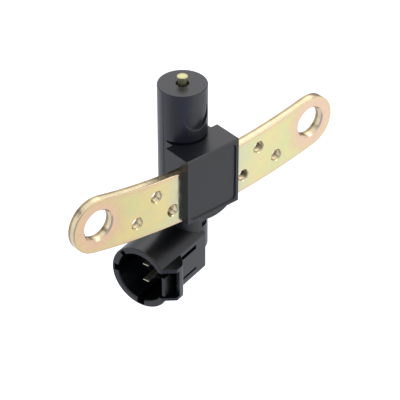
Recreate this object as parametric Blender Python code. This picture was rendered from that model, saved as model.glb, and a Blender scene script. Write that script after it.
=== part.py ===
"""Inductive crankshaft position sensor: a moulded body on a steel fixing bracket.

Sizes are in millimetres and are turned to metres where a mesh is made. +Z runs up the sensing
tip, +X along the bracket, and -Y is the front of the body. The origin is the middle of the
pole pin's end face, which is the point that is set to the flywheel's teeth.
"""

import math

import bmesh
import bpy
from mathutils import Matrix

MM = 0.001

# Clearances
FIT = 0.3
PIN_RING_GAP = 0.7
JOIN_STEP = 0.05

# Pole pin of soft iron, with its upset end and its foot
PIN_RADIUS = 1.4
PIN_HEAD_RADIUS = 1.75
PIN_HEAD_THICKNESS = 0.45
PIN_STAND = 2.8
PIN_FOOT_RADIUS = 3.2
PIN_FOOT_THICKNESS = 1.0

# Round sensing tip and the stem below it, one column of one radius
COLUMN_RADIUS = 8.0
TIP_LENGTH = 17.6
TIP_EDGE = 0.35
STEM_PAST_SOCKET = 1.4
STEM_CHAMFER = 1.2

# Round locating recess in the tip's front
RECESS_RADIUS = 4.7
RECESS_HEIGHT = 9.0
RECESS_FLOOR = 6.5

# Box that holds the bracket, with the shallow pocket in its front
BOX_WIDTH = 21.2
BOX_DEPTH = 10.6
BOX_HEIGHT = 24.0
BOX_FRONT = 15.0
BOX_EDGE = 0.4
LIP_HALF_WIDTH = 6.4
LIP_DROP = 1.8
POCKET_SIDE_RIM = 1.2
POCKET_TOP_RIM = 1.3
POCKET_BOTTOM_RIM = 1.4
POCKET_DEPTH = 0.8
POCKET_CORNER = 1.7

# Small square window in the front of the stem
WINDOW_WIDTH = 2.6
WINDOW_HEIGHT = 2.4
WINDOW_DEPTH = 1.0
WINDOW_X = 2.6
WINDOW_DROP = 9.3

# Bracket: a curved steel strip with a fixing eye at each end and six small holes
STRIP_THICKNESS = 3.0
STRIP_WIDTH = 19.0
STRIP_BEND_RADIUS = 200.0
STRIP_SETBACK = 2.35
STRIP_DROP = 14.6
STRIP_ROLL = 0.7
STRIP_BURR = 0.15
EYE_SPACING = 87.6
EYE_RADIUS = 5.15
EYE_RISE = 0.35
SMALL_HOLE_RADIUS = 2.05
SMALL_HOLES = ((21.15, 4.1), (14.7, -3.4), (28.95, -3.4))

# Round socket for the plug, turned from the bracket's line
SOCKET_TURN = math.radians(15.0)
SOCKET_DROP = 19.7
SOCKET_REACH = 24.4
SOCKET_BACK = 0.3
SOCKET_RADIUS = 11.1
SOCKET_FLAT = 8.8
SOCKET_EDGE = 0.35
SOCKET_WALL = 2.35
SOCKET_DEPTH = 12.4
FLAT_WALL = 1.05
KEYWAYS = ((132.0, 1.8, 1.75), (178.0, 2.5, 1.5), (-89.0, 2.7, 1.95))

# Guard over the latch tongue, and the tongue between its two slits
GUARD_LENGTH = 10.5
GUARD_NOSE = 3.2
GUARD_NOSE_END = 6.3
GUARD_NOSE_SIDE = 12.5
GUARD_SHOULDER = 7.65
GUARD_SHOULDER_SIDE = 11.7
GUARD_BRIDGE = 4.5
GUARD_HALF_HEIGHT = 6.25
GUARD_RISE = 0.35
GUARD_WALL = 1.2
TONGUE_ROOT = 5.3
TONGUE_HALF_WIDTH = 3.7
TONGUE_END_GAP = 0.2
TONGUE_CATCH_LENGTH = 8.5
TONGUE_CATCH_LIFT = 0.8
SLIT_TOP = 5.3
SLIT_BOTTOM = -4.6
RELIEF_DEPTH = 2.1

# Terminals: one strip each, bent once, with the blade in the socket
BLADE_WIDTH = 2.3
BLADE_THICKNESS = 0.8
BLADE_PITCH = 6.4
BLADE_TIP_INSET = 3.2
BLADE_POINT = 0.7
UPPER_STRIP_AT = 4.4
LOWER_STRIP_AT = 1.2

# Coil, bobbin and magnet in the tip
END_WALL = 1.5
BOBBIN_RADIUS = 5.0
BOBBIN_FLANGE = 0.9
BOBBIN_BARREL = 2.3
WINDING_LENGTH = 9.0
WINDING_THICKNESS = 1.4
TAPE_THICKNESS = 0.3
MAGNET_RADIUS = 3.5
MAGNET_LENGTH = 5.0
LEAD_RADIUS = 0.25
LEAD_GROOVE_WIDTH = 1.3
LEAD_GROOVE_DEPTH = 0.9
CARRIER_DISC = 1.5
CARRIER_WIDTH = 3.0
LEAD_ROOM = 1.6

# Heights that follow from the sizes above
FACE_Z = -PIN_STAND
BOX_TOP_Z = FACE_Z - TIP_LENGTH
BOX_BOTTOM_Z = BOX_TOP_Z - BOX_HEIGHT
SOCKET_Z = BOX_BOTTOM_Z - SOCKET_DROP
STEM_END_Z = SOCKET_Z - STEM_PAST_SOCKET
STRIP_MIDDLE_Z = BOX_TOP_Z - STRIP_DROP
STRIP_FRONT_Y = -BOX_FRONT + STRIP_SETBACK
STRIP_BACK_Y = STRIP_FRONT_Y + STRIP_THICKNESS
BOX_BACK_Y = -BOX_FRONT + BOX_DEPTH

CHAMBER_TOP_Z = FACE_Z - END_WALL
BOBBIN_TOP_Z = CHAMBER_TOP_Z - FIT
WINDING_TOP_Z = BOBBIN_TOP_Z - BOBBIN_FLANGE
WINDING_END_Z = WINDING_TOP_Z - WINDING_LENGTH
CUP_FLOOR_Z = WINDING_END_Z - BOBBIN_FLANGE
FOOT_TOP_Z = CUP_FLOOR_Z - FIT
MAGNET_TOP_Z = FOOT_TOP_Z - PIN_FOOT_THICKNESS - FIT
MAGNET_END_Z = MAGNET_TOP_Z - MAGNET_LENGTH
CARRIER_TOP_Z = MAGNET_END_Z - FIT
CARRIER_DISC_END_Z = CARRIER_TOP_Z - CARRIER_DISC
CHAMBER_END_Z = CARRIER_DISC_END_Z - LEAD_ROOM
STRIP_TOP_Z = CARRIER_TOP_Z - CARRIER_DISC / 2
CHAMBER_RADIUS = BOBBIN_RADIUS + FIT
WINDING_INNER = BOBBIN_BARREL + FIT
WINDING_OUTER = WINDING_INNER + WINDING_THICKNESS
TAPE_INNER = WINDING_OUTER + FIT
TAPE_OUTER = TAPE_INNER + TAPE_THICKNESS
UPPER_BLADE_Z = BLADE_PITCH / 2
LOWER_BLADE_Z = -BLADE_PITCH / 2
SOCKET_FLOOR = SOCKET_REACH - SOCKET_DEPTH
BLADE_TIP = SOCKET_REACH - BLADE_TIP_INSET


def clear_scene():
    for old in list(bpy.data.objects):
        bpy.data.objects.remove(old, do_unlink=True)


def material(name, colour, roughness, metallic=0.0):
    """A Principled material from an sRGB hex colour."""
    made = bpy.data.materials.new(name)
    made.use_nodes = True
    shader = made.node_tree.nodes["Principled BSDF"]
    parts = [int(colour[i:i + 2], 16) / 255 for i in (0, 2, 4)]
    linear = [c / 12.92 if c <= 0.04045 else ((c + 0.055) / 1.055) ** 2.4 for c in parts]
    shader.inputs["Base Color"].default_value = (*linear, 1.0)
    shader.inputs["Roughness"].default_value = roughness
    shader.inputs["Metallic"].default_value = metallic
    return made


def frame_empty(name, height=0.0, turn=0.0):
    """An empty at a height on the column's axis, turned about it."""
    empty = bpy.data.objects.new(name, None)
    bpy.context.scene.collection.objects.link(empty)
    empty.location = (0.0, 0.0, height * MM)
    empty.rotation_euler = (0.0, 0.0, turn)
    return empty


def solid(name, vertices, faces, finish=None, parent=None):
    """A closed mesh object from points in millimetres, with its faces turned outwards."""
    mesh = bpy.data.meshes.new(name)
    mesh.from_pydata([[c * MM for c in v] for v in vertices], [], faces)
    shape = bmesh.new()
    shape.from_mesh(mesh)
    bmesh.ops.recalc_face_normals(shape, faces=shape.faces)
    shape.to_mesh(mesh)
    shape.free()
    if finish is not None:
        mesh.materials.append(finish)
    mesh.shade_smooth()
    mesh.set_sharp_from_angle(angle=math.radians(30))
    made = bpy.data.objects.new(name, mesh)
    bpy.context.scene.collection.objects.link(made)
    made.parent = parent
    return made


def loft(name, rings, finish=None, parent=None):
    """A solid through rings that all have the same number of points, closed at both ends."""
    count = len(rings[0])
    vertices = [point for ring in rings for point in ring]
    faces = []
    for level in range(len(rings) - 1):
        low = level * count
        for i in range(count):
            j = (i + 1) % count
            faces.append((low + i, low + j, low + count + j, low + count + i))
    faces.append(tuple(range(count)))
    faces.append(tuple(range(len(vertices) - count, len(vertices))))
    return solid(name, vertices, faces, finish, parent)


def turned(name, profile, segments, finish=None, parent=None):
    """A solid turned about Z from (radius, height) pairs, closed at both ends."""
    turn = 2 * math.pi / segments
    rings = []
    for radius, height in profile:
        rings.append([
            (radius * math.cos(i * turn), radius * math.sin(i * turn), height)
            for i in range(segments)
        ])
    return loft(name, rings, finish, parent)


def tube(name, profile, segments, finish=None, parent=None):
    """A ring turned about Z from a closed outline of (radius, height) pairs."""
    turn = 2 * math.pi / segments
    count = len(profile)
    vertices = []
    faces = []
    for i in range(segments):
        angle = i * turn
        vertices += [(r * math.cos(angle), r * math.sin(angle), z) for r, z in profile]
        after = (i + 1) % segments
        for k in range(count):
            m = (k + 1) % count
            faces.append((i * count + k, i * count + m, after * count + m, after * count + k))
    return solid(name, vertices, faces, finish, parent)


def box(name, low, high, finish=None, parent=None):
    """A rectangular block between two corners."""
    ring = [(low[0], low[1]), (high[0], low[1]), (high[0], high[1]), (low[0], high[1])]
    rings = [[(x, y, z) for x, y in ring] for z in (low[2], high[2])]
    return loft(name, rings, finish, parent)


def prism(name, outline, axis, start, end, parent=None):
    """An outline pushed along an axis: (x, z) points along Y, or (x, y) points along Z."""
    if axis == "Y":
        rings = [[(x, at, z) for x, z in outline] for at in (start, end)]
    else:
        rings = [[(x, y, at) for x, y in outline] for at in (start, end)]
    return loft(name, rings, parent=parent)


def arc(centre, radius, start, end, steps):
    """Points on an arc from one angle to another, in degrees, both ends included."""
    points = []
    for i in range(steps + 1):
        angle = math.radians(start + (end - start) * i / steps)
        points.append((centre[0] + radius * math.cos(angle), centre[1] + radius * math.sin(angle)))
    return points


def round_rectangle(low, high, radius, steps=5):
    """A rectangle with round corners, anticlockwise from its lower right corner."""
    corners = (
        (high[0] - radius, low[1] + radius, -90),
        (high[0] - radius, high[1] - radius, 0),
        (low[0] + radius, high[1] - radius, 90),
        (low[0] + radius, low[1] + radius, 180),
    )
    points = []
    for x, y, start in corners:
        points += arc((x, y), radius, start, start + 90, steps)
    return points


def helper(made):
    """Marks an object that only shapes another."""
    made.hide_render = True
    made.display_type = "WIRE"
    return made


def combine(target, other, operation):
    modifier = target.modifiers.new(other.name, "BOOLEAN")
    modifier.operation = operation
    modifier.object = helper(other)


def join(target, other):
    combine(target, other, "UNION")


def cut(target, other):
    combine(target, other, "DIFFERENCE")


def soften(target, width, segments=2):
    """Rounds the sharp edges of a block."""
    modifier = target.modifiers.new("edge", "BEVEL")
    modifier.width = width * MM
    modifier.segments = segments
    modifier.limit_method = "ANGLE"
    modifier.angle_limit = math.radians(40)


def strip_outline(half_width):
    """The bracket's curved outline in X and Z: two long arcs and two round ends."""
    centre_z = STRIP_MIDDLE_Z + STRIP_BEND_RADIUS
    lean = math.degrees(math.asin(EYE_SPACING / 2 / STRIP_BEND_RADIUS))
    end_x = EYE_SPACING / 2
    end_z = centre_z - STRIP_BEND_RADIUS * math.cos(math.radians(lean))
    middle = (0.0, centre_z)
    low = STRIP_BEND_RADIUS + half_width
    high = STRIP_BEND_RADIUS - half_width
    points = arc(middle, low, -90 - lean, -90 + lean, 24)
    points += arc((end_x, end_z), half_width, -90 + lean, 90 + lean, 20)[1:]
    points += arc(middle, high, -90 + lean, -90 - lean, 24)[1:]
    points += arc((-end_x, end_z), half_width, 90 - lean, 270 - lean, 20)[1:-1]
    return points


def strip_height(x):
    """The height of the strip's middle line at a distance from its centre."""
    return STRIP_MIDDLE_Z + STRIP_BEND_RADIUS - math.sqrt(STRIP_BEND_RADIUS ** 2 - x ** 2)


def flared_hole(name, x, z, radius, segments):
    """A cutter along Y whose mouth follows the strip's rolled front edge."""
    rows = (
        (STRIP_FRONT_Y - 1.0, radius + STRIP_ROLL + 0.6),
        (STRIP_FRONT_Y - 0.001, radius + STRIP_ROLL * 0.6),
        (STRIP_FRONT_Y + STRIP_ROLL * 0.3, radius + STRIP_ROLL * 0.2),
        (STRIP_FRONT_Y + STRIP_ROLL * 0.7, radius),
        (STRIP_BACK_Y + 1.0, radius),
    )
    turn = 2 * math.pi / segments
    rings = []
    for y, r in rows:
        rings.append([
            (x + r * math.cos(i * turn), y, z + r * math.sin(i * turn))
            for i in range(segments)
        ])
    return loft(name, rings)


def make_bracket(zinc):
    half = STRIP_WIDTH / 2
    rows = (
        (STRIP_FRONT_Y, half - STRIP_ROLL),
        (STRIP_FRONT_Y + STRIP_ROLL * 0.3, half - STRIP_ROLL * 0.3),
        (STRIP_FRONT_Y + STRIP_ROLL, half),
        (STRIP_BACK_Y - STRIP_BURR, half),
        (STRIP_BACK_Y, half - STRIP_BURR),
    )
    rings = [[(x, y, z) for x, z in strip_outline(width)] for y, width in rows]
    bracket = loft("mounting_bracket", rings, zinc)
    for side in (-1, 1):
        x = side * EYE_SPACING / 2
        z = strip_height(x) + EYE_RISE
        cut(bracket, flared_hole(f"cutter_eye_{side}", x, z, EYE_RADIUS, 48))
        for number, (away, rise) in enumerate(SMALL_HOLES):
            x = side * away
            z = strip_height(x) + rise
            name = f"cutter_hole_{side}_{number}"
            cut(bracket, flared_hole(name, x, z, SMALL_HOLE_RADIUS, 28))
    return bracket


def column_with_box():
    """The moulded column, the box round the bracket and the waist between them."""
    r = COLUMN_RADIUS
    column = turned("housing_body", (
        (r - STEM_CHAMFER, STEM_END_Z),
        (r, STEM_END_Z + STEM_CHAMFER),
        (r, FACE_Z - TIP_EDGE),
        (r - TIP_EDGE * 0.3, FACE_Z - TIP_EDGE * 0.3),
        (r - TIP_EDGE, FACE_Z),
    ), 78)
    half = BOX_WIDTH / 2
    waist = r + 3 * JOIN_STEP
    outline = [(waist, BOX_BACK_Y), (half, BOX_BACK_Y), (half, -BOX_FRONT)]
    outline += [(-half, -BOX_FRONT), (-half, BOX_BACK_Y), (-waist, BOX_BACK_Y)]
    outline += arc((0.0, 0.0), waist, 180, 0, 37)
    block = prism("shape_box", outline, "Z", BOX_BOTTOM_Z, BOX_TOP_Z)
    soften(block, BOX_EDGE)
    join(column, block)
    lip_radius = (LIP_HALF_WIDTH ** 2 + LIP_DROP ** 2) / (2 * LIP_DROP)
    lip_angle = math.degrees(math.asin(LIP_HALF_WIDTH / lip_radius))
    lip_centre = (0.0, BOX_BOTTOM_Z - LIP_DROP + lip_radius)
    outline = arc(lip_centre, lip_radius, -90 - lip_angle, -90 + lip_angle, 12)
    outline += [(LIP_HALF_WIDTH, BOX_BOTTOM_Z + 1.0), (-LIP_HALF_WIDTH, BOX_BOTTOM_Z + 1.0)]
    lip = prism("shape_lip", outline, "Y", -BOX_FRONT + JOIN_STEP, BOX_BACK_Y - JOIN_STEP)
    join(column, lip)
    return column


def cut_front(body):
    """The pocket, the tip's round recess and the window in the stem."""
    half = BOX_WIDTH / 2 - POCKET_SIDE_RIM
    outline = round_rectangle(
        (-half, BOX_BOTTOM_Z + POCKET_BOTTOM_RIM), (half, BOX_TOP_Z - POCKET_TOP_RIM), POCKET_CORNER
    )
    over = 1.0
    pocket = prism("cutter_pocket", outline, "Y", -BOX_FRONT - over, -BOX_FRONT + POCKET_DEPTH)
    cut(body, pocket)
    ring = arc((0.0, BOX_TOP_Z + RECESS_HEIGHT), RECESS_RADIUS, 0, 360, 40)[:-1]
    recess = prism("cutter_recess", ring, "Y", -COLUMN_RADIUS - over, -RECESS_FLOOR)
    cut(body, recess)
    top = BOX_BOTTOM_Z - WINDOW_DROP + WINDOW_HEIGHT / 2
    reach = math.sqrt(COLUMN_RADIUS ** 2 - WINDOW_X ** 2)
    window = box(
        "cutter_window",
        (WINDOW_X - WINDOW_WIDTH / 2, -COLUMN_RADIUS - over, top - WINDOW_HEIGHT),
        (WINDOW_X + WINDOW_WIDTH / 2, -reach + WINDOW_DEPTH, top),
    )
    cut(body, window)


def cut_bracket_slot(body):
    """The slot that the strip lies in, the strip's own outline with the fit all round."""
    outline = strip_outline(STRIP_WIDTH / 2 + FIT)
    slot = prism("cutter_strip", outline, "Y", STRIP_FRONT_Y - FIT, STRIP_BACK_Y + FIT)
    cut(body, slot)


def cut_coil_room(body, socket):
    """The pin's hole, the coil chamber and the way down for the terminals."""
    over = 1.0
    bore = turned("cutter_pin", (
        (PIN_RADIUS + PIN_RING_GAP, CHAMBER_TOP_Z - over),
        (PIN_RADIUS + PIN_RING_GAP, FACE_Z + over),
    ), 32)
    cut(body, bore)
    chamber = turned("cutter_chamber", (
        (CHAMBER_RADIUS, CHAMBER_END_Z), (CHAMBER_RADIUS, CHAMBER_TOP_Z),
    ), 48)
    cut(body, chamber)
    top = CHAMBER_END_Z - SOCKET_Z + over
    side = CARRIER_WIDTH / 2 + FIT
    way = box(
        "cutter_way",
        (LOWER_STRIP_AT, -side, UPPER_BLADE_Z + BLADE_THICKNESS / 2),
        (UPPER_STRIP_AT, side, top),
        parent=socket,
    )
    cut(body, way)
    blade_side = BLADE_WIDTH / 2 + FIT
    for name, start, z in (
        ("upper", UPPER_STRIP_AT, UPPER_BLADE_Z),
        ("lower", LOWER_STRIP_AT, LOWER_BLADE_Z),
    ):
        outline = terminal_outline(start, z, top, SOCKET_FLOOR + over, FIT)
        rings = [[(x, y, h) for x, h in outline] for y in (-blade_side, blade_side)]
        cut(body, loft(f"cutter_{name}_terminal", rings, parent=socket))


def terminal_outline(strip_at, blade_z, top, tip, grow):
    """The bent strip's side outline: down from the coil, then out to the blade's tip."""
    half = BLADE_THICKNESS / 2 + grow
    return [
        (strip_at - half, top),
        (strip_at - half, blade_z - half),
        (tip, blade_z - half),
        (tip, blade_z + half),
        (strip_at + half, blade_z + half),
        (strip_at + half, top),
    ]


def flat_circle(radius, flat):
    """A circle in Y and Z with a flat on its +Y side, as (y, z) points."""
    corner = math.degrees(math.acos(flat / radius))
    return arc((0.0, 0.0), radius, corner, 360 - corner, 57)


def socket_solid(name, rows, parent):
    """A solid along the socket's axis through flat-sided rings of (distance, radius, flat)."""
    rings = []
    for x, radius, flat in rows:
        rings.append([(x, y, z) for y, z in flat_circle(radius, flat)])
    return loft(name, rings, parent=parent)


def guard_outline(inset, mouth):
    """The guard's plan in the socket's frame, its walls drawn in by the inset."""
    reach = SOCKET_REACH
    if inset == 0:
        return [
            (reach - JOIN_STEP, SOCKET_FLAT),
            (reach - GUARD_NOSE, GUARD_NOSE_SIDE),
            (reach - GUARD_NOSE_END, GUARD_NOSE_SIDE),
            (reach - GUARD_SHOULDER, GUARD_SHOULDER_SIDE),
            (reach - GUARD_LENGTH, SOCKET_FLAT),
            (reach - GUARD_LENGTH, SOCKET_FLAT - 2.0),
            (reach - JOIN_STEP, SOCKET_FLAT - 2.0),
        ]
    floor = SOCKET_FLAT - FLAT_WALL - 0.5
    return [
        (mouth, floor),
        (mouth, GUARD_NOSE_SIDE + 1.0),
        (reach - GUARD_BRIDGE, GUARD_NOSE_SIDE + 1.0),
        (reach - GUARD_BRIDGE, GUARD_NOSE_SIDE - inset),
        (reach - GUARD_NOSE_END + inset / 4, GUARD_NOSE_SIDE - inset),
        (reach - GUARD_SHOULDER + inset / 2, GUARD_SHOULDER_SIDE - inset),
        (reach - GUARD_LENGTH + 1.4 * inset, SOCKET_FLAT),
        (reach - GUARD_LENGTH + 1.4 * inset, floor),
    ]


def add_socket(body, socket):
    """The round socket with its flat side, and the guard on that side."""
    r = SOCKET_RADIUS
    flat = SOCKET_FLAT
    edge = SOCKET_EDGE
    barrel = socket_solid("shape_socket", (
        (-SOCKET_BACK, r - edge, flat - edge),
        (-SOCKET_BACK + edge, r, flat),
        (SOCKET_REACH - edge, r, flat),
        (SOCKET_REACH, r - edge, flat - edge),
    ), socket)
    join(body, barrel)
    low, high = GUARD_RISE - GUARD_HALF_HEIGHT, GUARD_RISE + GUARD_HALF_HEIGHT
    guard = prism("shape_guard", guard_outline(0, 0), "Z", low, high, socket)
    soften(guard, SOCKET_EDGE)
    join(body, guard)


def cut_socket(body, socket):
    """The room for the plug, its keyways, the guard's inside and the tongue's two slits."""
    mouth = SOCKET_REACH + 2.0
    inner = SOCKET_RADIUS - SOCKET_WALL
    inner_flat = SOCKET_FLAT - FLAT_WALL
    room = socket_solid("cutter_room", (
        (SOCKET_FLOOR, inner, inner_flat),
        (mouth, inner, inner_flat),
    ), socket)
    cut(body, room)
    for number, (angle, width, depth) in enumerate(KEYWAYS):
        key = box(
            f"cutter_keyway_{number}",
            (SOCKET_FLOOR + 0.2, inner - 1.5, -width / 2),
            (mouth, inner + depth, width / 2),
            parent=socket,
        )
        key.rotation_euler = (math.radians(angle), 0.0, 0.0)
        cut(body, key)
    relief = box(
        "cutter_relief",
        (TONGUE_ROOT + 0.3, inner_flat - RELIEF_DEPTH, SLIT_BOTTOM - 0.15),
        (SOCKET_FLOOR + 1.0, inner_flat - 2 * JOIN_STEP, SLIT_TOP + 0.15),
        parent=socket,
    )
    cut(body, relief)
    for name, low, high in (
        ("bottom", SLIT_BOTTOM, -TONGUE_HALF_WIDTH),
        ("top", TONGUE_HALF_WIDTH, SLIT_TOP),
    ):
        slit = box(
            f"cutter_slit_{name}",
            (TONGUE_ROOT, inner_flat - RELIEF_DEPTH + 0.2, low),
            (SOCKET_REACH - GUARD_LENGTH + 2.5, SOCKET_FLAT + 0.3, high),
            parent=socket,
        )
        cut(body, slit)
    half = GUARD_HALF_HEIGHT - GUARD_WALL
    low, high = GUARD_RISE - half, GUARD_RISE + half
    inside = prism("cutter_guard", guard_outline(GUARD_WALL, mouth), "Z", low, high, socket)
    cut(body, inside)


def add_tongue(body, socket):
    """The latch tongue, which stands free between the slits and under the guard."""
    inner_flat = SOCKET_FLAT - FLAT_WALL
    end = SOCKET_REACH - TONGUE_END_GAP
    lift = end - TONGUE_CATCH_LENGTH
    low = inner_flat + JOIN_STEP
    high = SOCKET_FLAT - JOIN_STEP
    plan = [
        (TONGUE_ROOT - 0.5, low),
        (lift + 1.0, low),
        (lift + 2.4, inner_flat + TONGUE_CATCH_LIFT),
        (end, inner_flat + TONGUE_CATCH_LIFT),
        (end, SOCKET_FLAT + TONGUE_CATCH_LIFT),
        (lift + 1.6, SOCKET_FLAT + TONGUE_CATCH_LIFT),
        (lift, high),
        (TONGUE_ROOT - 0.5, high),
    ]
    half = TONGUE_HALF_WIDTH - JOIN_STEP
    tongue = prism("shape_tongue", plan, "Z", -half, half, socket)
    join(body, tongue)


def make_housing(socket, black):
    body = column_with_box()
    add_socket(body, socket)
    cut_front(body)
    cut_bracket_slot(body)
    cut_coil_room(body, socket)
    cut_socket(body, socket)
    add_tongue(body, socket)
    body.data.materials.append(black)
    return body


def make_pin(iron):
    return turned("pole_pin", (
        (PIN_FOOT_RADIUS, FOOT_TOP_Z - PIN_FOOT_THICKNESS),
        (PIN_FOOT_RADIUS, FOOT_TOP_Z),
        (PIN_RADIUS, FOOT_TOP_Z),
        (PIN_RADIUS, -PIN_HEAD_THICKNESS),
        (PIN_HEAD_RADIUS, -PIN_HEAD_THICKNESS * 0.7),
        (PIN_HEAD_RADIUS, -PIN_HEAD_THICKNESS * 0.3),
        (PIN_HEAD_RADIUS - 0.15, 0.0),
    ), 32, iron)


def make_bobbin(nylon):
    """The bobbin: two flanges, a barrel and a cup below that holds the pin's foot and the magnet."""
    bore = PIN_RADIUS + FIT
    cup = MAGNET_RADIUS + FIT
    bobbin = tube("coil_bobbin", (
        (bore, BOBBIN_TOP_Z),
        (BOBBIN_RADIUS, BOBBIN_TOP_Z),
        (BOBBIN_RADIUS, WINDING_TOP_Z),
        (BOBBIN_BARREL, WINDING_TOP_Z),
        (BOBBIN_BARREL, WINDING_END_Z),
        (BOBBIN_RADIUS, WINDING_END_Z),
        (BOBBIN_RADIUS, MAGNET_END_Z),
        (cup, MAGNET_END_Z),
        (cup, CUP_FLOOR_Z),
        (bore, CUP_FLOOR_Z),
    ), 48, nylon)
    frame = bobbin_turn()
    for side in (-1, 1):
        groove = box(
            f"cutter_groove_{side}",
            (BOBBIN_RADIUS - LEAD_GROOVE_DEPTH, -LEAD_GROOVE_WIDTH / 2, MAGNET_END_Z - 1.0),
            (BOBBIN_RADIUS + 1.0, LEAD_GROOVE_WIDTH / 2, WINDING_END_Z + 1.0),
        )
        groove.rotation_euler = (0.0, 0.0, frame + (math.pi if side < 0 else 0.0))
        cut(bobbin, groove)
    return bobbin


def bobbin_turn():
    """The angle about Z of the socket's outward direction."""
    return math.pi + SOCKET_TURN


def make_leads(copper):
    """The winding's two ends, down the bobbin's grooves and in to the terminals."""
    run = BOBBIN_RADIUS - LEAD_GROOVE_DEPTH / 2 + FIT / 2
    top = WINDING_END_Z + LEAD_RADIUS + FIT
    low = CARRIER_DISC_END_Z - LEAD_ROOM / 2
    near = LOWER_STRIP_AT - BLADE_THICKNESS / 2 - FIT
    for name, points in (
        ("lead_start", [(run, top), (run, STRIP_TOP_Z + FIT)]),
        ("lead_finish", [(-run, top), (-run, low), (near, low)]),
    ):
        curve = bpy.data.curves.new(name, "CURVE")
        curve.dimensions = "3D"
        curve.bevel_depth = LEAD_RADIUS * MM
        curve.bevel_resolution = 2
        curve.use_fill_caps = True
        spline = curve.splines.new("POLY")
        spline.points.add(len(points) - 1)
        for point, (x, z) in zip(spline.points, points):
            point.co = (x * MM, 0.0, z * MM, 1.0)
        curve.materials.append(copper)
        lead = bpy.data.objects.new(name, curve)
        bpy.context.scene.collection.objects.link(lead)
        lead.rotation_euler = (0.0, 0.0, bobbin_turn())


def make_terminal(name, strip_at, blade_z, socket, brass):
    """One strip: up the body to the coil, and out along the socket as a blade."""
    half = BLADE_THICKNESS / 2
    outline = terminal_outline(strip_at, blade_z, STRIP_TOP_Z - SOCKET_Z, BLADE_TIP, 0.0)
    outline[2] = (BLADE_TIP - BLADE_POINT, blade_z - half)
    outline[3] = (BLADE_TIP, blade_z - half / 3)
    outline.insert(4, (BLADE_TIP, blade_z + half / 3))
    outline.insert(5, (BLADE_TIP - BLADE_POINT, blade_z + half))
    rings = [[(x, y, z) for x, z in outline] for y in (-BLADE_WIDTH / 2, BLADE_WIDTH / 2)]
    return loft(name, rings, brass, socket)


def make_carrier(socket, nylon):
    """The insert that closes the coil chamber and keeps the two terminal strips apart."""
    carrier = turned("terminal_carrier", (
        (BOBBIN_RADIUS, CARRIER_DISC_END_Z), (BOBBIN_RADIUS, CARRIER_TOP_Z),
    ), 48, nylon)
    gap = BLADE_THICKNESS / 2 + FIT
    inner = gap + 2 * JOIN_STEP
    side = BLADE_WIDTH / 2 + FIT
    spine = box(
        "shape_spine",
        (LOWER_STRIP_AT + inner, -CARRIER_WIDTH / 2, UPPER_BLADE_Z + gap),
        (UPPER_STRIP_AT - inner, CARRIER_WIDTH / 2, STRIP_TOP_Z - SOCKET_Z),
        parent=socket,
    )
    join(carrier, spine)
    slot_top = STRIP_TOP_Z - SOCKET_Z + FIT
    slot_low = CARRIER_DISC_END_Z - SOCKET_Z - 1.0
    for name, low, high in (
        ("upper", UPPER_STRIP_AT - gap, BOBBIN_RADIUS + 1.0),
        ("lower", LOWER_STRIP_AT - gap, LOWER_STRIP_AT + gap),
    ):
        slot = box(f"cutter_{name}_slot", (low, -side, slot_low), (high, side, slot_top), parent=socket)
        cut(carrier, slot)
    for way in (-1, 1):
        near = BOBBIN_RADIUS - LEAD_GROOVE_DEPTH
        low, high = sorted((way * near, way * (BOBBIN_RADIUS + 1.0)))
        groove = box(
            f"cutter_rim_{way}",
            (low, -LEAD_GROOVE_WIDTH / 2, slot_low),
            (high, LEAD_GROOVE_WIDTH / 2, CARRIER_TOP_Z - SOCKET_Z + 1.0),
            parent=socket,
        )
        cut(carrier, groove)
    return carrier


def make_coil(copper, tape_finish, magnet_finish):
    tube("coil_winding", (
        (WINDING_INNER, WINDING_TOP_Z - FIT),
        (WINDING_OUTER, WINDING_TOP_Z - FIT),
        (WINDING_OUTER, WINDING_END_Z + FIT),
        (WINDING_INNER, WINDING_END_Z + FIT),
    ), 48, copper)
    tube("winding_tape", (
        (TAPE_INNER, WINDING_TOP_Z - FIT),
        (TAPE_OUTER, WINDING_TOP_Z - FIT),
        (TAPE_OUTER, WINDING_END_Z + 4 * FIT),
        (TAPE_INNER, WINDING_END_Z + 4 * FIT),
    ), 48, tape_finish)
    turned("magnet", (
        (MAGNET_RADIUS, MAGNET_END_Z), (MAGNET_RADIUS, MAGNET_TOP_Z),
    ), 40, magnet_finish)


def main():
    clear_scene()
    socket = frame_empty("socket_frame", SOCKET_Z, bobbin_turn())
    black = material("black_moulding", "2b2c30", 0.38)
    nylon = material("natural_nylon", "d8d2c0", 0.5)
    zinc = material("yellow_passivated_zinc", "e6dc9e", 0.32, 1.0)
    iron = material("soft_iron", "d9d29a", 0.35, 1.0)
    brass = material("tinned_brass", "d9d4c4", 0.3, 1.0)
    copper = material("enamelled_copper", "a4502a", 0.35, 1.0)
    tape = material("polyester_tape", "caa53a", 0.4)
    alloy = material("magnet_alloy", "6e6c68", 0.4, 1.0)
    make_housing(socket, black)
    make_bracket(zinc)
    make_pin(iron)
    make_bobbin(nylon)
    make_coil(copper, tape, alloy)
    make_leads(copper)
    make_carrier(socket, nylon)
    make_terminal("terminal_upper", UPPER_STRIP_AT, UPPER_BLADE_Z, socket, brass)
    make_terminal("terminal_lower", LOWER_STRIP_AT, LOWER_BLADE_Z, socket, brass)


main()
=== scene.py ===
"""An inductive crankshaft sensor on a white sheet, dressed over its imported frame."""

import math

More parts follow.
